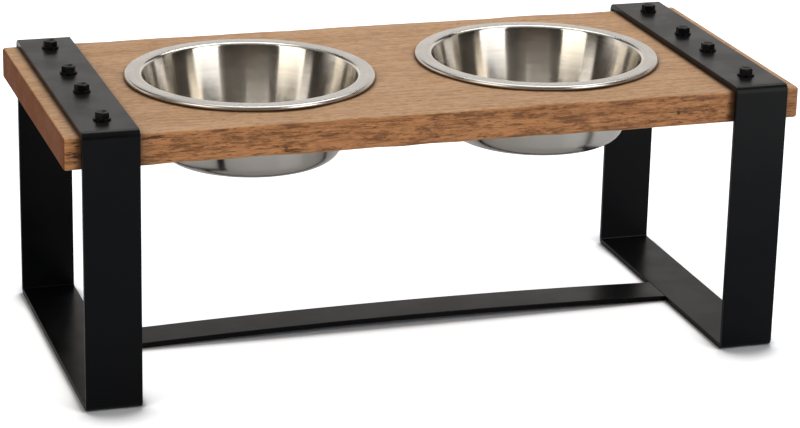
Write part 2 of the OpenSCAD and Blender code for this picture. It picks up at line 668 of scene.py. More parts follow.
@dataclass(frozen=True)
class Figure:
    """One noise of the wood, and how it is read.

    Its scale is in features per metre along X, Y and Z. The values in its span are spread over
    its share, which darkens the wood.
    """

    scale: Point
    detail: float
    roughness: float
    span: Span
    share: Span = (0.0, 1.0)

    def texture(self, net: Net, place: Socket) -> Socket:
        """The bare noise."""
        return net.noise(net.stretch(place, self.scale), 1.0, self.detail, self.roughness)

    def read(self, net: Net, noise: Socket) -> Socket:
        """The share that a noise gives."""
        return net.remap(noise, *self.span, *self.share)


@dataclass(frozen=True)
class DarkSpot:
    """A dark spot (knots, sap marks, one painted shadow): its middle, and its half sizes along X, Y
    and Z.
    """

    centre: Point
    size: Point


@dataclass(frozen=True)
class OiledWood:
    """Oiled hardwood, with its fibres along X and rougher sawn sides.

    Painted shade darkens the wood in a thin line where another piece lies on it, from ambient
    occlusion.
    """

    name: str = "oiled_wood"
    light: Colour = (0.65, 0.385, 0.205)
    dark: Colour = (0.42, 0.222, 0.1)
    pore: Colour = (0.13, 0.06, 0.026)
    dark_spot: Colour = (0.05, 0.022, 0.01)
    # The colour of the knots, and of the painted shadow of a leg.
    side_tint: Colour = (0.83, 0.645, 0.49)
    end_tint: Colour = (0.36, 0.22, 0.075)

    broad: Figure = Figure((6, 30, 60), 3, 0.6, (0.3, 0.72), (0.0, 0.3))
    fibres: Figure = Figure((34, 300, 480), 4, 0.75, (0.36, 0.64), (-0.16, 0.3))
    flecks: Figure = Figure((150, 450, 800), 4, 0.75, (0.36, 0.64), (-0.26, 0.38))
    pores: Figure = Figure((150, 700, 1100), 2, 0.5, (0.6, 0.7))
    blotches: Figure = Figure((38, 90, 210), 5, 0.78, (0.47, 0.62), (0.0, 0.72))
    split_span: Span = (0.53, 0.68)
    split_share: Span = (0.0, 0.5)
    pore_share: float = 0.42
    sawn_pore_share: float = 0.4

    # Dark spots on the sawn sides. The first is a painted shadow of the left front leg on the board's
    # front face, between the leg and the end. The others are knots and sap marks.
    dark_spots: tuple[DarkSpot, ...] = (
        DarkSpot((-0.25, -0.118, 0.187), (0.02, 0.01, 0.008)),
        DarkSpot((-0.206, -0.118, 0.194), (0.014, 0.01, 0.0025)),
        DarkSpot((-0.11, -0.118, 0.178), (0.01, 0.01, 0.0018)),
        DarkSpot((0.176, -0.118, 0.184), (0.002, 0.004, 0.0025)),
    )
    dark_spot_share: float = 0.8

    pith: Point = (0, 0.045, 0.06)
    ring_gap: float = 5 * MM
    ring_share: float = 0.28
    ring_bend: float = 5.0
    ring_bend_scale: Point = (3, 9, 9)
    ring_ripple: float = 0.8
    ring_ripple_scale: Point = (9, 60, 60)
    late_wood: float = 0.85

    edge_width: float = 1.5 * MM
    wear_patch: float = 12 * MM
    wear_share: float = 0.2
    # Painted shade: the colour, reach and occlusion span of the darkening where another piece lies on
    # the wood.
    painted_shade: Colour = (0.06, 0.03, 0.014)
    painted_shade_reach: float = 7 * MM
    painted_shade_span: Span = (0.95, 0.5)
    painted_shade_share: Span = (0.0, 0.85)

    sanded_grain: float = 0.5 * MM
    mottle_size: float = 25 * MM
    roughness: Span = (0.5, 0.62)
    end_roughness: float = 0.2
    specular: float = 0.3
    fleck_height: float = 0.6
    pore_height: float = -0.8
    sanded_height: float = 0.2
    sawn_relief: float = 3.0
    relief_strength: float = 0.5
    relief_depth: float = 0.12 * MM

    def material(self) -> bpy.types.Material:
        """Builds the material."""
        material, net, shader = new_material(self.name)
        place = net.object_coordinates()
        normal = net.add("SeparateXYZ", {0: net.add("TexCoord").outputs["Normal"]}).outputs
        side = net.remap(net.math("ABSOLUTE", normal[2]), low=0.8, high=0.35)
        end = net.remap(net.math("ABSOLUTE", normal[0]), low=0.35, high=0.8)
        sawn = net.math("MULTIPLY", side, net.math("SUBTRACT", 1.0, end))
        fibres = self.fibres.texture(net, place)
        flecks = self.flecks.texture(net, place)
        pore = self.pores.read(net, self.pores.texture(net, place))

        colour = self.clean_colour(net, place, fibres, flecks)
        colour = self.stained_colour(net, place, colour, fibres, pore, sawn)
        for share, tint in ((side, self.side_tint), (end, self.end_tint)):
            colour = net.mix(share, colour, net.mix(1.0, colour, tint, "MULTIPLY"))
        wear = net.group(
            edge_wear(),
            {"Vector": place, "Width": self.edge_width, "Patch Size": self.wear_patch},
        ).outputs["Mask"]
        colour = net.mix(net.math("MULTIPLY", wear, self.wear_share), colour, self.light)
        # Painted shade from ambient occlusion, where a bowl's rim or a strap lies on the wood.
        painted_shade = net.remap(net.occlusion(self.painted_shade_reach), *self.painted_shade_span, *self.painted_shade_share)
        colour = net.mix(painted_shade, colour, self.painted_shade)

        grain = net.group(
            surface_grain(),
            {"Vector": place, "Grain Size": self.sanded_grain, "Mottle Size": self.mottle_size},
        ).outputs
        rough = net.remap(grain["Mottle"], 0, 1, *self.roughness)
        rough = net.math("ADD", rough, net.math("MULTIPLY", end, self.end_roughness))
        relief = self.relief(net, flecks, pore, grain["Height"], sawn)
        net.set(shader.inputs["Base Color"], colour)
        net.set(shader.inputs["Roughness"], rough)
        net.set(shader.inputs["Specular IOR Level"], self.specular)
        net.set(shader.inputs["Normal"], net.bump(relief, self.relief_strength, self.relief_depth))
        return material

    def clean_colour(self, net: Net, place: Socket, fibres: Socket, flecks: Socket) -> Socket:
        """The colour of sound wood, between light and dark.

        Args:
            net: the material's net.
            place: the surface's place.
            fibres: the fibres' noise.
            flecks: the flecks' noise.

        Returns:
            A colour.
        """
        broad = self.broad.texture(net, place)
        shade = net.math("MULTIPLY", self.rings(net, place), self.ring_share)
        shade = net.math("ADD", shade, self.broad.read(net, broad))
        shade = net.math("ADD", shade, self.fibres.read(net, fibres))
        shade = net.math("ADD", shade, self.flecks.read(net, flecks))
        return net.mix(net.math("ADD", shade, 0.0, clamp=True), self.light, self.dark)

    def stained_colour(
        self, net: Net, place: Socket, colour: Socket, fibres: Socket, pore: Socket, sawn: Socket
    ) -> Socket:
        """The wood with its pores, and on its sawn sides with blotches, splits, knots and a painted
        leg shadow.

        Args:
            net: the material's net.
            place: the surface's place.
            colour: the colour of sound wood.
            fibres: the fibres' noise.
            pore: 1 in a pore.
            sawn: 1 on a sawn side.

        Returns:
            A colour.
        """
        blotches = self.blotches.texture(net, place)
        blotch = net.math("MULTIPLY", self.blotches.read(net, blotches), sawn)
        colour = net.mix(blotch, colour, self.pore)
        split = net.remap(fibres, *self.split_span, *self.split_share)
        colour = net.mix(net.math("MULTIPLY", split, sawn), colour, self.pore)
        sawn_share = net.math("MULTIPLY", sawn, self.sawn_pore_share)
        pore_share = net.math("ADD", self.pore_share, sawn_share)
        colour = net.mix(net.math("MULTIPLY", pore, pore_share), colour, self.pore)
        # Knots, sap marks and one painted shadow of a leg, on the sawn sides.
        dark_spot = net.math("MULTIPLY", self.dark_spot_mask(net, place, blotches), self.dark_spot_share)
        return net.mix(net.math("MULTIPLY", dark_spot, sawn), colour, self.dark_spot)

    def relief(
        self, net: Net, flecks: Socket, pore: Socket, sanded: Socket, sawn: Socket
    ) -> Socket:
        """The height of the surface, rougher on the sawn sides.

        Args:
            net: the material's net.
            flecks: the flecks' noise.
            pore: 1 in a pore.
            sanded: the fine grain's height.
            sawn: 1 on a sawn side.

        Returns:
            A height for a Bump node.
        """
        fleck = net.math("MULTIPLY", flecks, self.fleck_height)
        height = net.math("ADD", fleck, net.math("MULTIPLY", pore, self.pore_height))
        height = net.math("ADD", height, net.math("MULTIPLY", sanded, self.sanded_height))
        roughen = net.math("ADD", 1.0, net.math("MULTIPLY", sawn, self.sawn_relief))
        return net.math("MULTIPLY", height, roughen)

    def dark_spot_mask(self, net: Net, place: Socket, ragged: Socket) -> Socket:
        """Dark spots at the places that are given: knots, sap marks and a painted shadow of a leg.

        Args:
            net: the material's net.
            place: the surface's place.
            ragged: a noise that breaks up their outlines.

        Returns:
            A value from 0 to 1, in a knot.
        """
        mask = 0.0
        break_up = net.remap(ragged, low=0.35, high=0.65, to_low=0.75, to_high=-0.35)
        for dark_spot in self.dark_spots:
            scale = [1 / s for s in dark_spot.size]
            offset = [-c / s for c, s in zip(dark_spot.centre, dark_spot.size)]
            near = net.stretch(place, scale, offset)
            reach = net.add("VectorMath", {0: near}, operation="LENGTH").outputs["Value"]
            spot = net.remap(net.math("ADD", reach, break_up), low=1.1, high=0.6)
            mask = net.math("MAXIMUM", mask, spot)
        return mask

    def rings(self, net: Net, place: Socket) -> Socket:
        """Yearly rings round a pith that runs along X, under the board.

        Args:
            net: the material's net.
            place: the surface's place.

        Returns:
            A value from 0, early wood, to 1, late wood.
        """
        bend = net.noise(net.stretch(place, self.ring_bend_scale), 1.0, detail=2)
        ripple = net.noise(net.stretch(place, self.ring_ripple_scale), 1.0, detail=3)
        from_pith = net.stretch(place, (1, 1, 1), [-c for c in self.pith])
        from_pith = net.add("SeparateXYZ", {0: from_pith}).outputs
        across = [net.math("MULTIPLY", from_pith[i], from_pith[i]) for i in (1, 2)]
        radius = net.math("SQRT", net.math("ADD", *across))
        count = net.math("DIVIDE", radius, self.ring_gap)
        count = net.math("ADD", count, net.math("MULTIPLY", bend, self.ring_bend))
        count = net.math("ADD", count, net.math("MULTIPLY", ripple, self.ring_ripple))
        phase = net.math("FRACT", count)
        rise = net.remap(phase, low=0.1, high=self.late_wood)
        fall = net.remap(phase, low=self.late_wood, high=1.0, to_low=1.0, to_high=0.0)
        return net.math("MULTIPLY", rise, fall)


# Sub-assemblies


@dataclass
class Board:
    """The wooden board, with a hole for each bowl and for each screw."""

    low: Vector
    high: Vector
    bowls: list["Bowl"]
    screws: "Screws"
    finish: OiledWood = field(default_factory=OiledWood)
    unevenness: float = 0.35 * MM
    edge_radius: float = 2.2 * MM
    hole_play: float = 2 * MM
    hole_ease: float = 1 * MM
    hole_sides: int = 128
    cuts: int = 26

    def build(self) -> None:
        """Builds and dresses the board."""
        board = self.blank()
        for bowl in self.bowls:
            radius = bowl.neck_radius + self.hole_play
            board.cut(self.drill("bowl_cutter", bowl.centre, radius, self.hole_sides))
        self.ease_holes(board)
        for place in self.screws.places:
            top = place.z - self.screws.washer_height - self.screws.band
            floor = Vector((place.x, place.y, top - self.screws.bite))
            radius = self.screws.hole_radius
            sides = self.screws.hole_sides
            board.cut(self.drill("screw_cutter", floor, radius, sides, from_floor=True))
        board.smooth(angle=30)
        board.dress(self.finish.material())
        board.stand_for("stand", Slot.WOOD, "board")

    def blank(self) -> Workpiece:
        """A plank with rounded, slightly uneven edges.

        Returns:
            The plank, without holes.
        """
        slack = Vector([self.unevenness] * 3)
        board = Workpiece.block("feeder_board", self.low + slack, self.high - slack)
        with board.editing():
            step = (self.high.x - self.low.x) / (self.cuts + 1)
            for i in range(self.cuts):
                board.pick_all()
                bpy.ops.mesh.bisect(
                    plane_co=(self.low.x + (i + 1) * step, 0, 0), plane_no=(1, 0, 0)
                )
            inner = self.high.x - step / 2
            board.pick(Pick.VERTS, lambda v: abs(v.co.x) < inner)
            bpy.ops.transform.vertex_random(offset=self.unevenness, uniform=1, normal=0, seed=7)
        board.ease(self.edge_radius, segments=4)
        return board

    def drill(
        self, name: str, place: Vector, radius: float, sides: int, from_floor: bool = False
    ) -> Workpiece:
        """A cutter for one round hole.

        Args:
            name: the cutter's name.
            place: a point on its axis.
            radius: its radius.
            sides: how many sides it has.
            from_floor: whether it starts at the place, or passes right through.

        Returns:
            The cutter.
        """
        past = 5 * MM
        bottom = place.z if from_floor else self.low.z - past
        depth = self.high.z + past - bottom
        return Workpiece.from_primitive(
            name,
            bpy.ops.mesh.primitive_cylinder_add,
            vertices=sides,
            radius=radius,
            depth=depth,
            location=(place.x, place.y, bottom + depth / 2),
        )

    def ease_holes(self, board: Workpiece) -> None:
        """Rounds the edges of the bowls' holes, above and below.

        Args:
            board: the board, with nothing drilled but the bowls' holes.
        """
        level = 0.7 * MM
        slack = 0.05 * MM

        def off_wall(vertex: bmesh.types.BMVert, bowl: "Bowl") -> float:
            """How far a vertex lies off the wall of a bowl's hole."""
            out = hypot(vertex.co.x - bowl.centre.x, vertex.co.y)
            return abs(out - bowl.neck_radius - self.hole_play)

        def round_hole(edge: bmesh.types.BMEdge) -> bool:
            """Whether an edge is about level and lies on the wall of a hole."""
            flat = abs(edge.verts[0].co.z - edge.verts[1].co.z) < level
            return flat and all(
                off_wall(vertex, bowl) <= slack
                for vertex in edge.verts
                for bowl in self.bowls
                if vertex.co.x * bowl.centre.x > 0
            )

        with board.editing():
            board.pick(Pick.EDGES, round_hole)
            bpy.ops.mesh.bevel(offset=self.hole_ease, segments=3, affect="EDGES")


@dataclass
class SteelLoop:
    """One closed loop of flat steel, bent at four corners."""

    side: Side
    low: Vector
    high: Vector
    band: float
    screws: "Screws"
    bend_radius: float = 5 * MM
    bend_steps: int = 10
    edge_radius: float = 0.5 * MM
    hole_play: float = 0.2 * MM

    def build(self, material: bpy.types.Material) -> None:
        """Builds and dresses the loop.

        Args:
            material: the powder coat.
        """

        def across(edge: bmesh.types.BMEdge) -> bool:
            """Whether an edge runs across the band."""
            return abs(edge.verts[0].co.x - edge.verts[1].co.x) > self.band

        loop = Workpiece.block(f"{self.side.value}_loop", self.low, self.high)
        with loop.editing():
            loop.pick(Pick.FACES, lambda face: abs(face.normal.x) > 0.5)
            bpy.ops.mesh.delete(type="ONLY_FACE")
            loop.pick(Pick.EDGES, across)
            bpy.ops.mesh.bevel(offset=self.bend_radius, segments=self.bend_steps, affect="EDGES")
        loop.modify("SOLIDIFY", thickness=self.band, offset=-1, use_even_offset=True)
        loop.point_outwards()
        loop.ease(self.edge_radius, segments=3, angle=60)
        for place in self.screws.on(self.side):
            loop.cut(
                Workpiece.from_primitive(
                    "strap_cutter",
                    bpy.ops.mesh.primitive_cylinder_add,
                    vertices=self.screws.hole_sides,
                    radius=self.screws.hole_radius + self.hole_play,
                    depth=4 * self.band,
                    location=(place.x, place.y, self.high.z),
                )
            )
        loop.smooth(angle=50)
        loop.dress(material)
        loop.stand_for("stand", Slot.COATED_STEEL, f"{self.side.value}_frame")


@dataclass
class CrossBar:
    """The low arched bar that is welded between the feet."""

    low: Vector
    high: Vector
    band: float
    steps: int = 24
    overshoot: float = 1.05
    edge_radius: float = 0.5 * MM

    def build(self, material: bpy.types.Material) -> None:
        """Builds and dresses the bar: one half is spun too far, cut to length and mirrored.

        Args:
            material: the powder coat.
        """
        half = self.high.x
        rise = self.high.z - self.low.z - self.band
        radius = (half**2 + rise**2) / (2 * rise)
        centre_z = self.high.z - self.band - radius
        bar = Workpiece.block(
            "arched_bar",
            Vector((-self.band, self.low.y, self.high.z - self.band)),
            Vector((0, self.high.y, self.high.z)),
        )
        with bar.editing():
            bar.pick_all()
            bpy.ops.mesh.delete(type="ONLY_FACE")
            bar.pick(Pick.VERTS, lambda v: v.co.x < -self.band / 2)
            bpy.ops.mesh.delete(type="VERT")
            bar.pick_all()
            bpy.ops.mesh.spin(
                steps=self.steps,
                angle=-self.overshoot * asin(half / radius),
                center=(0, 0, centre_z),
                axis=(0, 1, 0),
            )
            bar.pick_all()
            bpy.ops.mesh.bisect(
                plane_co=(half, 0, 0), plane_no=(1, 0, 0), clear_outer=True, use_fill=True
            )
        bar.modify(
            "MIRROR",
            use_axis=(True, False, False),
            use_clip=True,
            merge_threshold=0.01 * MM,
        )
        bar.point_outwards()
        bar.ease(self.edge_radius, segments=3, angle=60)
        bar.smooth(angle=50)
        bar.dress(material)
        bar.stand_for("stand", Slot.COATED_STEEL, "cross_bar")


@dataclass
class Bowl:
    """A steel bowl that hangs by its rolled rim."""

    side: Side
    low: Vector
    high: Vector
    seat: float
    sheet: float = 0.8 * MM
    bead: float = 3.5 * MM
    bead_roll: float = 280
    ring_width: float = 8.5 * MM
    neck_bend: float = 2.5 * MM
    base_bend: float = 12 * MM
    wall_lean: float = 12.5
    turns: int = 160
    base_steps: int = 12
    base_bend_steps: int = 10
    wall_steps: int = 8
    neck_steps: int = 8
    ring_steps: int = 3
    bead_steps: int = 22
    satin_into_neck: float = 0.3

    @property
    def centre(self) -> Vector:
        """The middle of the bowl's underside."""
        return Vector(((self.low.x + self.high.x) / 2, (self.low.y + self.high.y) / 2, self.low.z))

    @property
    def rim_radius(self) -> float:
        """The outer radius of the rim."""
        return (self.high.x - self.low.x) / 2

    @property
    def neck_radius(self) -> float:
        """The outer radius of the neck, where it passes through the board."""
        return self.rim_radius - self.bead / 2 - self.ring_width - self.neck_bend + self.sheet

    def profile(self) -> list[Vector]:
        """Half section of the face that holds the food, from the axis out and round the bead.

        Returns:
            Points in the XZ plane, with the axis at x = 0.
        """
        lean = radians(self.wall_lean)
        inward = Vector((-cos(lean), 0, sin(lean)))
        down = Vector((-sin(lean), 0, -cos(lean)))
        top = self.high.z
        bottom = self.low.z
        bead_x = self.rim_radius - self.bead / 2
        neck = Vector((bead_x - self.ring_width, 0, top - self.neck_bend))
        wall_top = neck + (self.neck_bend - self.sheet) * inward
        length = (wall_top.z - bottom + self.base_bend * (inward.z - 1)) / -down.z
        base = wall_top + length * down + self.base_bend * inward
        inner_bend = self.base_bend - self.sheet
        bead_centre = Vector((bead_x, 0, top - self.bead / 2))

        points = [
            Vector((base.x * i / self.base_steps, 0, bottom + self.sheet))
            for i in range(self.base_steps)
        ]
        points += arc(base, inner_bend, -90, -self.wall_lean, self.base_bend_steps)
        wall_end = neck + self.neck_bend * inward
        wall_start = points[-1]
        points += [
            wall_start.lerp(wall_end, i / self.wall_steps) for i in range(1, self.wall_steps)
        ]
        points += arc(neck, self.neck_bend, 180 - self.wall_lean, 90, self.neck_steps)
        points += [
            Vector((neck.x + self.ring_width * i / self.ring_steps, 0, top))
            for i in range(1, self.ring_steps)
        ]
        points += arc(bead_centre, self.bead / 2, 90, 90 - self.bead_roll, self.bead_steps)
        return points

    def build(self, wall: bpy.types.Material, rim: bpy.types.Material) -> None:
        """Builds and dresses the bowl.

        Args:
            wall: the finish of the wall and the base.
            rim: the finish of the ring and the bead.
        """
        ring_start = self.rim_radius - self.bead / 2 - self.ring_width
        satin_start = ring_start - self.satin_into_neck * self.neck_bend

        def on_ring(face: bmesh.types.BMFace) -> bool:
            """Whether a face belongs to the ring or the bead."""
            middle = face.calc_center_median()
            return hypot(middle.x - self.centre.x, middle.y) > satin_start

        bowl = self.spun_sheet()
        bowl.smooth(angle=50, weighted=False)
        bowl.dress(wall, rim)
        with bowl.editing():
            bowl.pick(Pick.FACES, on_ring)
            bpy.context.object.active_material_index = 1
            bpy.ops.object.material_slot_assign()
        name = f"{self.side.value}_bowl"
        bowl.stand_for(name, Slot.STAINLESS, name)

    def spun_sheet(self) -> Workpiece:
        """Spins the half section, gives the sheet its thickness and flattens the bead's seat.

        Returns:
            The bare bowl, in its place.
        """
        points = self.profile()
        bowl = Workpiece.from_primitive(
            f"{self.side.value}_steel_bowl", bpy.ops.mesh.primitive_plane_add, size=1 * MM
        )
        with bowl.editing():
            bowl.pick_all()
            bpy.ops.mesh.merge(type="CENTER")
            bpy.ops.transform.translate(value=points[0])
            for start, end in zip(points, points[1:]):
                bpy.ops.mesh.extrude_vertices_move(TRANSFORM_OT_translate={"value": end - start})
            bowl.pick_all()
            bpy.ops.mesh.spin(steps=self.turns, angle=2 * pi, center=(0, 0, 0), axis=(0, 0, 1))
            bowl.pick_all()
            bpy.ops.mesh.remove_doubles(threshold=0.002 * MM)
            bpy.ops.mesh.normals_make_consistent(inside=False)
            mesh = bmesh.from_edit_mesh(bowl.obj.data)
            base = min(mesh.faces, key=lambda face: face.calc_center_median().length_squared)
            if base.normal.z < 0:
                bpy.ops.mesh.flip_normals()
            bowl.pick_all()
            bpy.ops.transform.translate(value=(self.centre.x, self.centre.y, 0))
        bowl.modify("SOLIDIFY", thickness=self.sheet, offset=-1, use_even_offset=True)
        with bowl.editing():
            in_bead = self.rim_radius - 1.5 * self.bead
            bowl.pick(
                Pick.VERTS,
                lambda v: v.co.z < self.seat and hypot(v.co.x - self.centre.x, v.co.y) > in_bead,
            )
            bpy.ops.transform.resize(value=(1, 1, 0), center_override=(0, 0, self.seat))
        return bowl


@dataclass
class Screws:
    """The wood screws that hold the board up to the straps, each on a washer."""

    places: list[Vector]
    band: float
    washer_height: float
    washer_radius: float
    head_height: float
    flats: float = 9.2 * MM
    top_share: float = 0.88
    edge_radius: float = 0.18 * MM
    washer_edge: float = 0.15 * MM
    washer_play: float = 0.25 * MM
    hole_play: float = 0.05 * MM
    hole_sides: int = 24
    shank_radius: float = 3 * MM
    core_radius: float = 2.1 * MM
    thread_pitch: float = 2.5 * MM
    bite: float = 16 * MM
    point: float = 5 * MM
    tip_share: float = 0.12
    dish_radius: float = 3.5 * MM
    dish_depth: float = 0.8 * MM
    chamfer: float = 30
    head_turn: float = 23

    @property
    def hole_radius(self) -> float:
        """The radius of a screw's hole in the wood."""
        return self.shank_radius + self.hole_play

    def on(self, side: Side) -> list[Vector]:
        """The undersides of the heads along one strap, from the front."""
        return [place for place in self.places if place.x * side.way > 0]

    def build(self, material: bpy.types.Material) -> None:
        """Models one screw and one washer, and copies them to every place.

        Args:
            material: the black finish.
        """
        screw = self.model_screw()
        washer = self.model_washer()
        kinds = ((screw, "wood_screw", "screw"), (washer, "flat_washer", "washer"))
        for side in Side:
            for i, place in enumerate(self.on(side), start=1):
                turn = Matrix.Rotation(radians(self.head_turn * i * (2 + side.way)), 4, "Z")
                seat = Matrix.Translation(place) @ turn
                for piece, kind, node in kinds:
                    copy = piece.copy(f"{side.value}_{kind}_{i}", seat)
                    copy.dress(material)
                    copy.stand_for("stand", Slot.FASTENERS, f"{side.value}_{node}_{i}")
        screw.discard()
        washer.discard()

    def model_screw(self) -> Workpiece:
        """A screw whose head stands on the plane z = 0.

        Returns:
            The screw.
        """
        screw = self.model_head()
        screw.join(self.model_shank())
        screw.smooth(angle=35)
        return screw

    def model_head(self) -> Workpiece:
        """A hexagonal head, chamfered and dished on top.

        Returns:
            The head.
        """
        height = self.head_height
        corner = self.flats / 2 / cos(pi / 6)
        head = Workpiece.from_primitive(
            "wood_screw",
            bpy.ops.mesh.primitive_cylinder_add,
            vertices=6,
            radius=corner,
            depth=height,
            location=(0, 0, height / 2),
            rotation=(0, 0, pi / 6),
        )
        top_radius = self.top_share * self.flats / 2
        run = 2 * height / tan(radians(self.chamfer))
        cone = Workpiece.from_primitive(
            "chamfer_cutter",
            bpy.ops.mesh.primitive_cone_add,
            vertices=96,
            radius1=top_radius + run,
            radius2=top_radius,
            depth=2 * height,
            location=(0, 0, 0),
        )
        head.cut(cone, "INTERSECT")
        ball = (self.dish_radius**2 + self.dish_depth**2) / (2 * self.dish_depth)
        head.cut(
            Workpiece.from_primitive(
                "dish_cutter",
                bpy.ops.mesh.primitive_uv_sphere_add,
                segments=64,
                ring_count=64,
                radius=ball,
                location=(0, 0, height - self.dish_depth + ball),
            )
        )
        head.ease(self.edge_radius, segments=2, angle=25)
        return head

    def model_shank(self) -> Workpiece:
        """The shank in the wood, with a rolled thread and a point.

        Returns:
            The shank, below the plane z = 0.
        """
        plain = self.washer_height + self.band
        length = plain + self.bite
        shank = Workpiece.from_primitive(
            "shank",
            bpy.ops.mesh.primitive_cylinder_add,
            vertices=32,
            radius=self.shank_radius,
            depth=plain,
            location=(0, 0, -plain / 2),
        )
        with shank.editing():
            shank.pick(Pick.FACES, lambda face: face.normal.z < -0.5)
            bpy.ops.mesh.inset(thickness=self.shank_radius - self.core_radius)
            bpy.ops.mesh.extrude_region_move(
                TRANSFORM_OT_translate={"value": (0, 0, -(self.bite - self.point))}
            )
            bpy.ops.mesh.extrude_region_move(TRANSFORM_OT_translate={"value": (0, 0, -self.point)})
            tip = (self.tip_share, self.tip_share, 1)
            bpy.ops.transform.resize(value=tip, center_override=(0, 0, -length))
        shank.join(self.model_thread(plain))
        return shank

    def model_thread(self, start: float) -> Workpiece:
        """The ridge of the thread, sunk a little into the core.

        Args:
            start: how far below the head the thread starts.

        Returns:
            The ridge.
        """
        turns = int((self.bite - self.point) / self.thread_pitch)
        thread = Workpiece.from_primitive(
            "thread",
            bpy.ops.mesh.primitive_circle_add,
            vertices=3,
            radius=0.6 * MM,
            fill_type="NOTHING",
        )
        with thread.editing():
            mesh = bmesh.from_edit_mesh(thread.obj.data)
            foot = 0.8 * self.core_radius
            half = 0.3 * self.thread_pitch
            corners = [(foot, half), (self.shank_radius, 0), (foot, -half)]
            low = start + self.thread_pitch * turns + half
            for vertex, (x, z) in zip(mesh.verts, corners):
                vertex.co = (x, 0, z - low)
            bmesh.update_edit_mesh(thread.obj.data)
        thread.modify(
            "SCREW",
            axis="Z",
            angle=2 * pi,
            iterations=turns,
            screw_offset=self.thread_pitch,
            steps=24,
            render_steps=24,
        )
        with thread.editing():
            thread.pick(Pick.EDGES, lambda edge: edge.is_boundary)
            bpy.ops.mesh.edge_face_add()
        thread.point_outwards()
        return thread

    def model_washer(self) -> Workpiece:
        """A flat washer under the plane z = 0.

        Returns:
            The washer.
        """
        bore = self.shank_radius + self.washer_play
        washer = Workpiece.from_primitive(
            "washer",
            bpy.ops.mesh.primitive_circle_add,
            vertices=64,
            radius=self.washer_radius,
            fill_type="NOTHING",
        )
        with washer.editing():
            washer.pick_all()
            bpy.ops.mesh.extrude_edges_move()
            share = bore / self.washer_radius
            bpy.ops.transform.resize(value=(share, share, 1), center_override=(0, 0, 0))
        washer.point_outwards()
        with washer.editing():
            washer.pick(Pick.FACES, lambda face: face.normal.z < 0)
            bpy.ops.mesh.flip_normals()
        washer.modify("SOLIDIFY", thickness=self.washer_height, offset=-1)
        washer.point_outwards()
        washer.ease(self.washer_edge, segments=2, angle=50)
        washer.smooth(angle=35)
        return washer


# Studio


@dataclass(frozen=True)
class Camera:
    """The photograph's view: angles in degrees, lengths in metres, lens and sensor in millimetres."""

    azimuth: float = -17.859
    elevation: float = 18.780
    roll: float = 1.278
    aim_right: float = 0.00765
    aim_up: float = 0.07899
    distance: float = 2.13433
    lens: float = 126.97
    sensor: float = 36

    def build(self) -> None:
        """Sets the camera up and makes it the scene's own."""
        azimuth = radians(self.azimuth)
        elevation = radians(self.elevation)
        back = Vector(
            (sin(azimuth) * cos(elevation), -cos(azimuth) * cos(elevation), sin(elevation))
        )
        level = (-back).cross(Vector((0, 0, 1))).normalized()
        upright = level.cross(-back)
        roll = radians(self.roll)
        right = cos(roll) * level + sin(roll) * upright
        up = cos(roll) * upright - sin(roll) * level
        place = self.aim_right * right + self.aim_up * up + self.distance * back
        data = bpy.data.cameras.new("camera")
        data.lens = self.lens
        data.sensor_width = self.sensor
        camera = bpy.data.objects.new("camera", data)
        camera.matrix_world = Matrix(
            [(right[i], up[i], back[i], place[i]) for i in range(3)] + [(0, 0, 0, 1)]
        )
        bpy.context.scene.collection.objects.link(camera)
        bpy.context.scene.camera = camera


@dataclass(frozen=True)
class SoftBox:
    """One rectangular lamp: its azimuth in degrees from the front, and lengths in metres."""

    name: str
    azimuth: float
    distance: float
    rise: float
    width: float
    height: float
    watts: float
    colour: Colour = (1, 1, 1)
    tilted: bool = False
    aim_height: float = 0.15

    def build(self) -> None:
        """Sets the lamp up, upright or tilted towards the object."""
        azimuth = radians(self.azimuth)
        away = self.distance * Vector((sin(azimuth), -cos(azimuth), 0))
        place = away + Vector((0, 0, self.rise))
        back = place - Vector((0, 0, self.aim_height)) if self.tilted else away
        data = bpy.data.lights.new(self.name, "AREA")
        data.shape = "RECTANGLE"
        data.size = self.width
        data.size_y = self.height
        data.energy = self.watts
        data.color = self.colour
        lamp = bpy.data.objects.new(self.name, data)
        lamp.location = place
        lamp.rotation_euler = back.to_track_quat("Z", "Y").to_euler()
        bpy.context.scene.collection.objects.link(lamp)


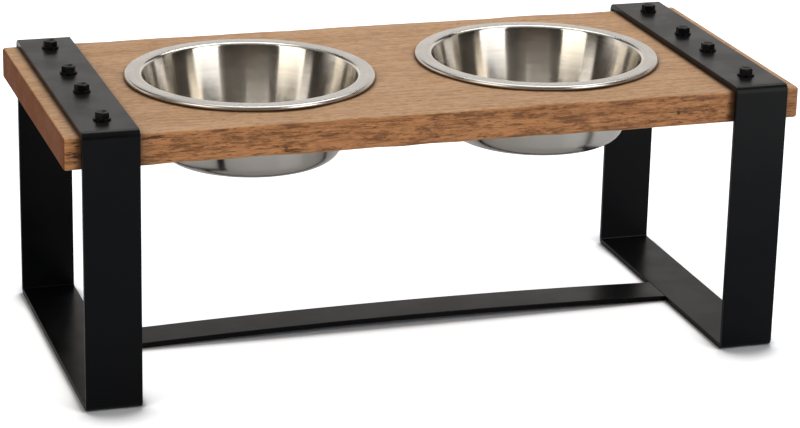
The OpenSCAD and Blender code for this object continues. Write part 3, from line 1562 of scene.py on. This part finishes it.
@dataclass(frozen=True)
class Studio:
    """Floor, world and lamps.

    The metal mirrors a dim room with a pale backdrop behind it, an upper wall and a ceiling. Each
    edge between them is a span of the direction's length along Y or Z.
    """

    boxes: tuple[SoftBox, ...] = (
        SoftBox("overhead", 150, 0.95, 1.8, 1.4, 1.2, 17, tilted=True),
        SoftBox("front_right", 34, 2.6, 1.2, 1.4, 3.0, 36),
        SoftBox("front_left", -63.5, 2.6, 1.2, 1.35, 3.0, 35, (1.0, 0.94, 0.82)),
        SoftBox("side_right", 85, 2.6, 1.2, 0.5, 3.0, 2.8, (1.0, 0.92, 0.78)),
        SoftBox("side_left", -125, 2.6, 1.2, 0.5, 3.0, 2.8, (1.0, 0.92, 0.78)),
    )
    ambient: float = 0.22
    room: Colour = (0.028, 0.024, 0.018)
    camera_side: Colour = (0.1, 0.075, 0.045)
    camera_azimuth: float = -17.9
    camera_side_angles: Span = (22, 6)
    backdrop: Colour = (1.0, 0.95, 0.9)
    backdrop_edge: Span = (0.1, 0.45)
    upper_wall: Colour = (0.1, 0.098, 0.095)
    upper_wall_edge: Span = (0.33, 0.42)
    ceiling: Colour = (0.45, 0.44, 0.43)
    ceiling_edge: Span = (0.6, 0.8)
    floor_colour: Colour = (0.7, 0.72, 0.76)
    floor_roughness: float = 0.9
    floor_size: float = 1.1
    floor_glow: float = 0.8
    # The reach and occlusion span of the painted contact shadow in the floor's glow to the camera.
    painted_shadow_reach: float = 42 * MM
    painted_shadow_span: Span = (0.6, 1.0)
    mirrored_from: Span = (0.6, 1.0)

    def build(self) -> None:
        """Builds the studio round the object."""
        for box in self.boxes:
            box.build()
        self.build_floor()
        self.build_world()
        bpy.context.scene.view_settings.view_transform = "Standard"

    def build_floor(self) -> None:
        """A pale disc, white to the camera away from the object, with a painted contact shadow near
        it, and white in the metal far out.
        """
        floor = Workpiece.from_primitive(
            "floor",
            bpy.ops.mesh.primitive_circle_add,
            vertices=96,
            radius=self.floor_size,
            fill_type="NGON",
        )
        material, net, shader = new_material("floor")
        path = net.add("LightPath").outputs
        gloss = net.math("MAXIMUM", path["Is Glossy Ray"], path["Is Transmission Ray"])
        # Painted shadow: the camera's white glow fades where the floor is shut in near the object.
        # The lamps' shadows on the floor are real.
        outside_painted_shadow = net.remap(net.occlusion(self.painted_shadow_reach), *self.painted_shadow_span)
        away = net.add("VectorMath", {0: net.object_coordinates()}, operation="LENGTH")
        beyond = net.remap(away.outputs["Value"], *self.mirrored_from)
        beyond = net.math("MULTIPLY", gloss, beyond)
        seen = net.math("ADD", net.math("MULTIPLY", path["Is Camera Ray"], outside_painted_shadow), beyond)
        net.set(shader.inputs["Base Color"], self.floor_colour)
        net.set(shader.inputs["Roughness"], self.floor_roughness)
        net.set(shader.inputs["Specular IOR Level"], 0.0)
        net.set(shader.inputs["Emission Color"], (1, 1, 1))
        net.set(shader.inputs["Emission Strength"], net.math("MULTIPLY", seen, self.floor_glow))
        below = net.add("NewGeometry").outputs["Backfacing"]
        net.set(shader.inputs["Alpha"], net.math("SUBTRACT", 1.0, below))
        floor.dress(material)

    def build_world(self) -> None:
        """A white background, an even light, and a room that only the metal mirrors."""
        world = bpy.data.worlds.new("studio")
        world.use_nodes = True
        bpy.context.scene.world = world
        net = Net(world.node_tree)
        background = next(n for n in world.node_tree.nodes if n.type == "BACKGROUND")
        path = net.add("LightPath").outputs
        generated = net.add("TexCoord").outputs["Generated"]
        direction = net.add("SeparateXYZ", {0: generated}).outputs
        turn = radians(self.camera_azimuth)
        towards = net.add(
            "VectorMath", {0: generated, 1: (sin(turn), -cos(turn), 0)}, operation="DOT_PRODUCT"
        ).outputs["Value"]
        near_camera = net.remap(towards, *[cos(radians(a)) for a in self.camera_side_angles])
        room = net.mix(near_camera, self.room, self.camera_side)
        room = net.mix(net.remap(direction[1], *self.backdrop_edge), room, self.backdrop)
        room = net.mix(net.remap(direction[2], *self.upper_wall_edge), room, self.upper_wall)
        room = net.mix(net.remap(direction[2], *self.ceiling_edge), room, self.ceiling)
        gloss = net.math("MAXIMUM", path["Is Glossy Ray"], path["Is Transmission Ray"])
        colour = net.mix(gloss, (self.ambient,) * 3, room)
        colour = net.mix(path["Is Camera Ray"], colour, (1, 1, 1))
        net.set(background.inputs["Color"], colour)


def make_parts() -> list[str]:
    """Builds every sub-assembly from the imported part.

    Returns:
        The names of the sub-assemblies, in the order of building.
    """
    boxes = {name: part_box(name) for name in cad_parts}
    board_low, board_high = boxes["board"]
    loop_high = boxes["left_frame"][1]
    band = loop_high.z - board_high.z
    numbers = range(1, SCREWS_A_SIDE + 1)
    washers = [boxes[f"{side.value}_washer_{i}"] for side in Side for i in numbers]
    places = [Vector(((low.x + high.x) / 2, (low.y + high.y) / 2, high.z)) for low, high in washers]
    washer_low, washer_high = washers[0]
    head_top = boxes["left_screw_1"][1].z
    screws = Screws(
        places=places,
        band=band,
        washer_height=washer_high.z - washer_low.z,
        washer_radius=(washer_high.x - washer_low.x) / 2,
        head_height=head_top - washer_high.z,
    )
    bowls = [Bowl(side, *boxes[f"{side.value}_bowl"], seat=board_high.z) for side in Side]

    powder_coat = CoatedSteel(
        name="powder_coat",
        colour=(0.0012, 0.0015, 0.0023),
        rubbed_colour=(0.014, 0.013, 0.012),
        roughness=0.31,
        specular=0.15,
        grain_size=0.5 * MM,
        grain_strength=0.35,
        edge_width=0.6 * MM,
    ).material()
    black_oxide = CoatedSteel(
        name="black_oxide",
        colour=(0.0025, 0.0025, 0.0028),
        rubbed_colour=(0.016, 0.015, 0.014),
        roughness=0.38,
        specular=0.14,
        grain_size=0.25 * MM,
        grain_strength=0.25,
        edge_width=0.25 * MM,
    ).material()

    Board(board_low, board_high, bowls, screws).build()
    for side in Side:
        SteelLoop(side, *boxes[f"{side.value}_frame"], band=band, screws=screws).build(powder_coat)
    CrossBar(*boxes["cross_bar"], band=band).build(powder_coat)
    screws.build(black_oxide)
    for bowl in bowls:
        wall = Stainless(
            name=f"polished_wall_{bowl.side.value}",
            colour=(0.66, 0.625, 0.575),
            roughness=0.17,
            anisotropy=1.0,
            line_width=0.35 * MM,
            line_strength=0.01,
            centre=tuple(bowl.centre),
        ).material()
        rim = Stainless(
            name=f"satin_rim_{bowl.side.value}",
            colour=(0.63, 0.61, 0.58),
            roughness=0.28,
            anisotropy=0.3,
            line_width=0.3 * MM,
            line_strength=0.004,
            centre=tuple(bowl.centre),
        ).material()
        bowl.build(wall, rim)
    return ["board", "loops", "cross bar", "screws", "bowls"]


def main() -> None:
    """Sets the camera and the studio up and builds the object."""
    logging.basicConfig(level=logging.INFO, format="%(name)s: %(message)s")
    Camera().build()
    Studio().build()
    for name in make_parts():
        log.info("built: %s", name)


if __name__ == "__main__":
    main()
